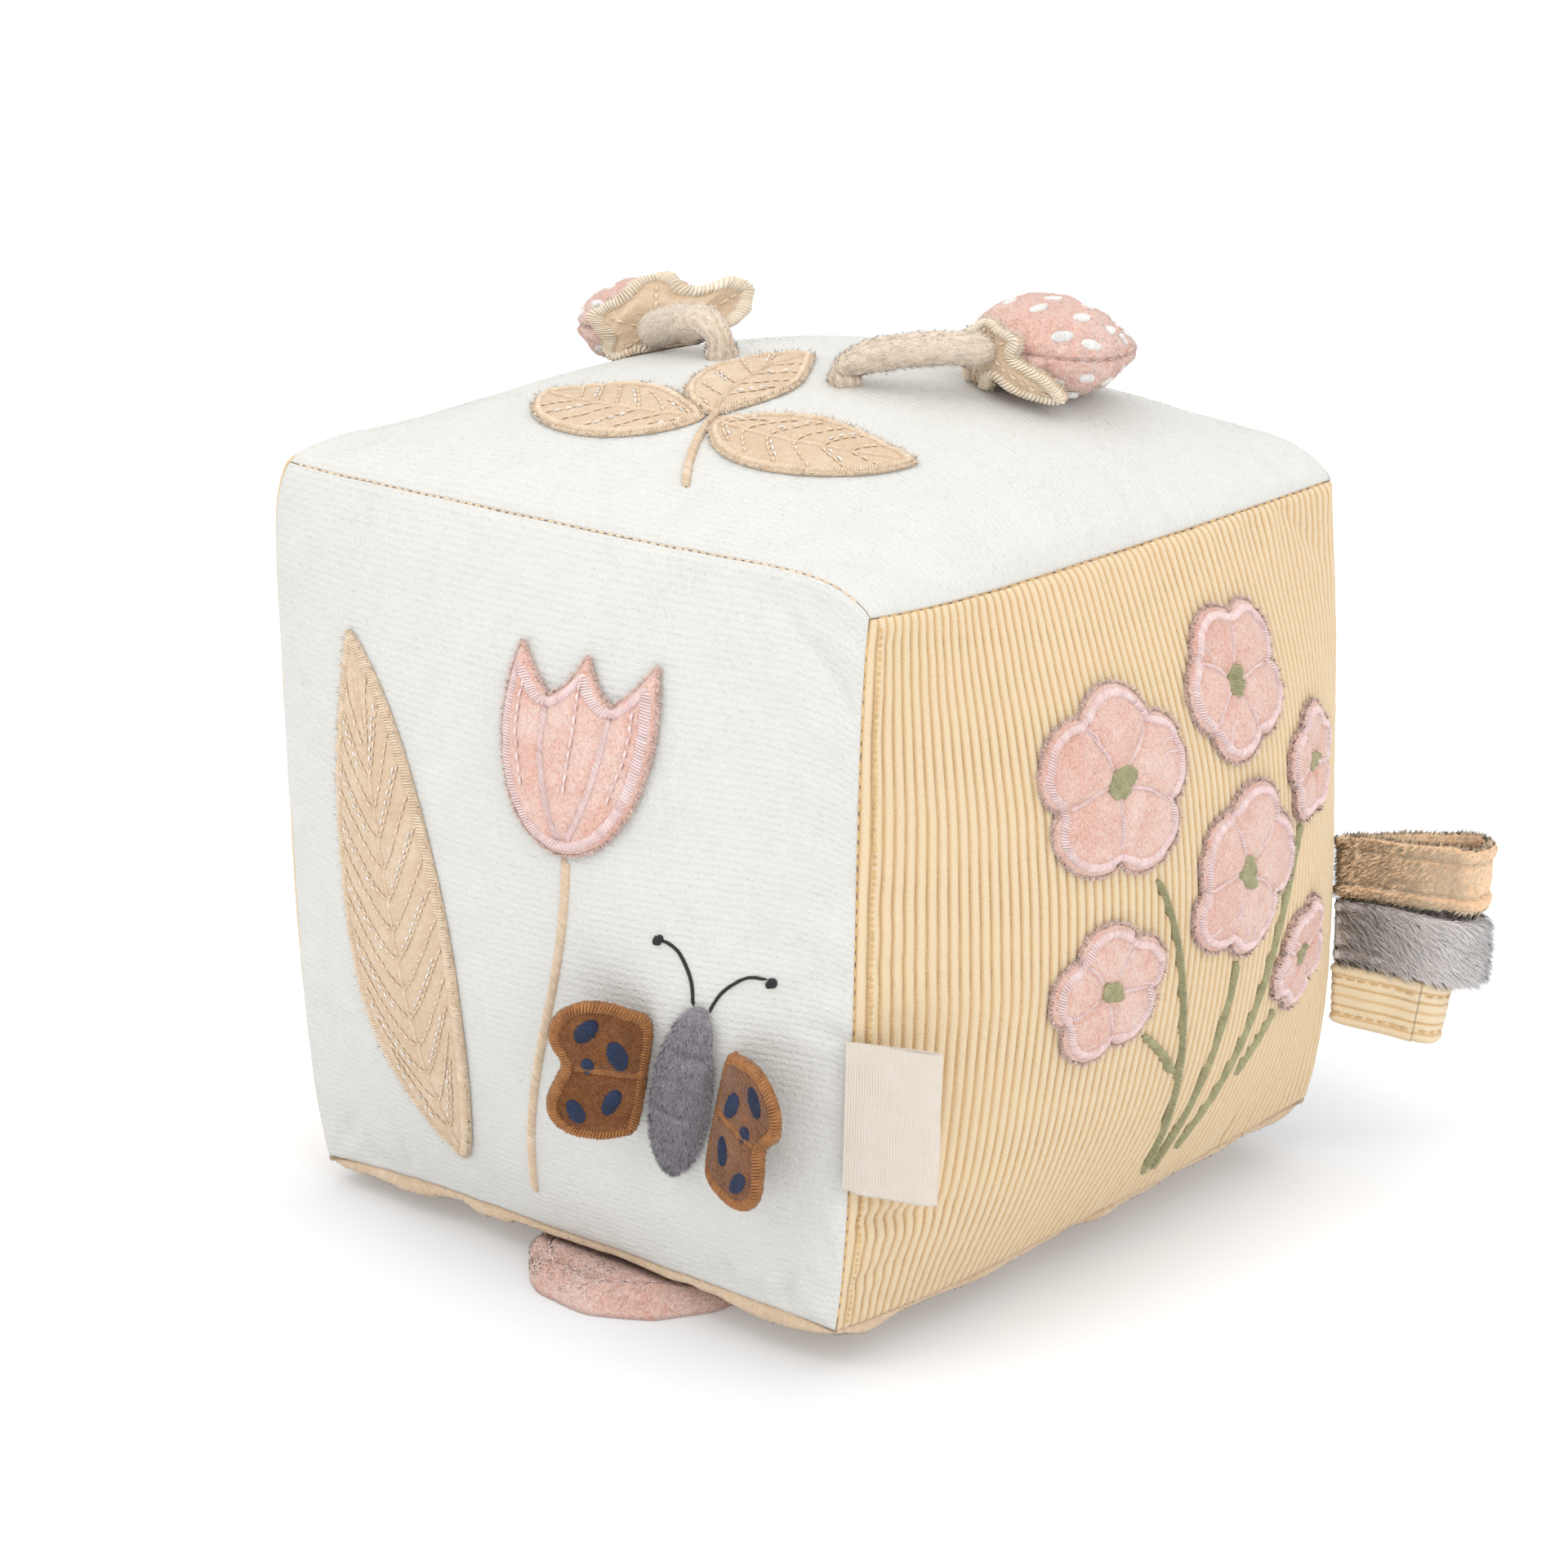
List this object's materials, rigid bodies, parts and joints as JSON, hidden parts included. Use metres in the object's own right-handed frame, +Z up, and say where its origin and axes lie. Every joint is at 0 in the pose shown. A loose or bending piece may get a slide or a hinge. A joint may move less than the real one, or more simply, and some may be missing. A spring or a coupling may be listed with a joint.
{
  "type": "soft fabric activity block",
  "caption": "Stuffed fabric activity cube with raised fabric flowers and leaves, plush berries on stems, tape loops, a bare woven label and flapping wings.",
  "frame": {"origin": "on the ground under the middle of the block, in the flat patch of the bottom panel", "axes": "+Z up, the plain white front panel looks along -Y, the ribbed panel with the blossoms along +X"},
  "size_m": [0.2008, 0.2087, 0.1959],
  "materials": {
    "white_velour": "short white pile velour, matt with a soft sheen",
    "yellow_corduroy": "butter yellow corduroy with fine ribs",
    "grey_plush": "grey plush with combed pile",
    "tan_velour": "tan short pile velour with satin stitched edges",
    "pink_velour": "pink short pile velour with satin stitched edges",
    "olive_thread": "olive satin stitch thread",
    "beige_thread": "beige satin stitch thread",
    "brown_suede": "rust brown velour flap with stitched edge and navy spots",
    "cream_tape": "bare cream woven cotton tape",
    "fibrefill": "white polyester fibre stuffing",
    "rattle_shell": "matt moulded plastic",
    "rattle_bead": "small moulded bead"
  },
  "bodies": {
    "block": {"front_panel": "white_velour", "top_panel": "white_velour", "right_panel": "yellow_corduroy", "left_panel": "yellow_corduroy", "back_panel": "grey_plush", "bottom_panel": "tan_velour", "stuffing_lower": "fibrefill", "stuffing_upper": "fibrefill", "rattle_cup": "rattle_shell", "rattle_lid": "rattle_shell", "tulip_bloom": "pink_velour", "tulip_stem": "beige_thread", "long_leaf": "tan_velour", "butterfly_body": "grey_plush", "leaflet_left": "tan_velour", "leaflet_middle": "tan_velour", "leaflet_right": "tan_velour", "leaf_stalk": "beige_thread", "blossom_1": "pink_velour", "blossom_centre_1": "olive_thread", "blossom_2": "pink_velour", "blossom_centre_2": "olive_thread", "blossom_3": "pink_velour", "blossom_centre_3": "olive_thread", "blossom_4": "pink_velour", "blossom_centre_4": "olive_thread", "blossom_5": "pink_velour", "blossom_centre_5": "olive_thread", "blossom_6": "pink_velour", "blossom_centre_6": "olive_thread", "flower_stem_1": "olive_thread", "flower_stem_3": "olive_thread", "flower_stem_4": "olive_thread", "flower_stem_5": "olive_thread", "flower_stem_6": "olive_thread"},
    "wing_left": {"butterfly_wing_left": "brown_suede"},
    "wing_right": {"butterfly_wing_right": "brown_suede"},
    "stem_left": {"stalk_left": "tan_velour"},
    "berry_left": {"berry_left": "pink_velour", "calyx_left": "tan_velour"},
    "stem_right": {"stalk_right": "tan_velour"},
    "berry_right": {"berry_right": "pink_velour", "calyx_right": "tan_velour"},
    "loop_tan": {"loop_tan": "tan_velour"},
    "loop_grey": {"loop_grey": "grey_plush"},
    "loop_ribbed": {"loop_ribbed": "yellow_corduroy"},
    "label": {"woven_label": "cream_tape"},
    "petal": {"base_petal": "pink_velour"},
    "bead_1": {"rattle_bead_1": "rattle_bead"},
    "bead_2": {"rattle_bead_2": "rattle_bead"},
    "bead_3": {"rattle_bead_3": "rattle_bead"}
  },
  "joints": [
    {"name": "wing_left_flap", "type": "hinge", "parent": "block", "child": "wing_left", "pos_m": [0.0353, -0.09052, 0.05767], "axis": [0.2485, -0.0761, 0.9656], "range_deg": [-12, 70], "stiffness_Nm_per_rad": 0.0005},
    {"name": "wing_right_flap", "type": "hinge", "parent": "block", "child": "wing_right", "pos_m": [0.05001, -0.0868, 0.05431], "axis": [-0.2585, 0.0385, -0.9652], "range_deg": [-12, 70], "stiffness_Nm_per_rad": 0.0005},
    {"name": "stem_left_lift", "type": "hinge", "parent": "block", "child": "stem_left", "pos_m": [-0.01427, -0.01431, 0.1828], "axis": [0.4703, 0.8825, 0], "range_deg": [0, 75]},
    {"name": "berry_left_flop", "type": "hinge", "parent": "stem_left", "child": "berry_left", "pos_m": [-0.043, 0.001, 0.1796], "axis": [0.7071, 0.7071, 0], "range_deg": [0, 25]},
    {"name": "stem_right_lift", "type": "hinge", "parent": "block", "child": "stem_right", "pos_m": [0.0182, -0.01311, 0.18274], "axis": [0.729, -0.6846, 0], "range_deg": [0, 75]},
    {"name": "berry_right_flop", "type": "hinge", "parent": "stem_right", "child": "berry_right", "pos_m": [0.0385, 0.0085, 0.1869], "axis": [0.9899, -0.1414, 0], "range_deg": [0, 25]},
    {"name": "loop_tan_swing", "type": "hinge", "parent": "block", "child": "loop_tan", "pos_m": [0.07963, 0.08006, 0.0673], "axis": [0, 0, 1], "range_deg": [-70, 70], "stiffness_Nm_per_rad": 0.001},
    {"name": "loop_grey_swing", "type": "hinge", "parent": "block", "child": "loop_grey", "pos_m": [0.07949, 0.08028, 0.0529], "axis": [0, 0, 1], "range_deg": [-70, 70], "stiffness_Nm_per_rad": 0.001},
    {"name": "loop_ribbed_swing", "type": "hinge", "parent": "block", "child": "loop_ribbed", "pos_m": [0.0792, 0.08048, 0.0383], "axis": [0, 0, 1], "range_deg": [-70, 70], "stiffness_Nm_per_rad": 0.001},
    {"name": "label_turn", "type": "hinge", "parent": "block", "child": "label", "pos_m": [0.07716, -0.07762, 0.05696], "axis": [0, 0, 1], "range_deg": [-120, 30], "stiffness_Nm_per_rad": 0.0003},
    {"name": "petal_droop", "type": "hinge", "parent": "block", "child": "petal", "pos_m": [0.01, -0.0565, 0.0009], "axis": [1, 0, 0], "range_deg": [0, 45]},
    {"name": "bead_1_rattle", "type": "slide", "parent": "block", "child": "bead_1", "axis": [0, 0, 1], "range_m": [0, 0.0145]},
    {"name": "bead_2_rattle", "type": "slide", "parent": "block", "child": "bead_2", "axis": [0, 0, 1], "range_m": [0, 0.0145]},
    {"name": "bead_3_rattle", "type": "slide", "parent": "block", "child": "bead_3", "axis": [0, 0, 1], "range_m": [0, 0.0145]}
  ]
}
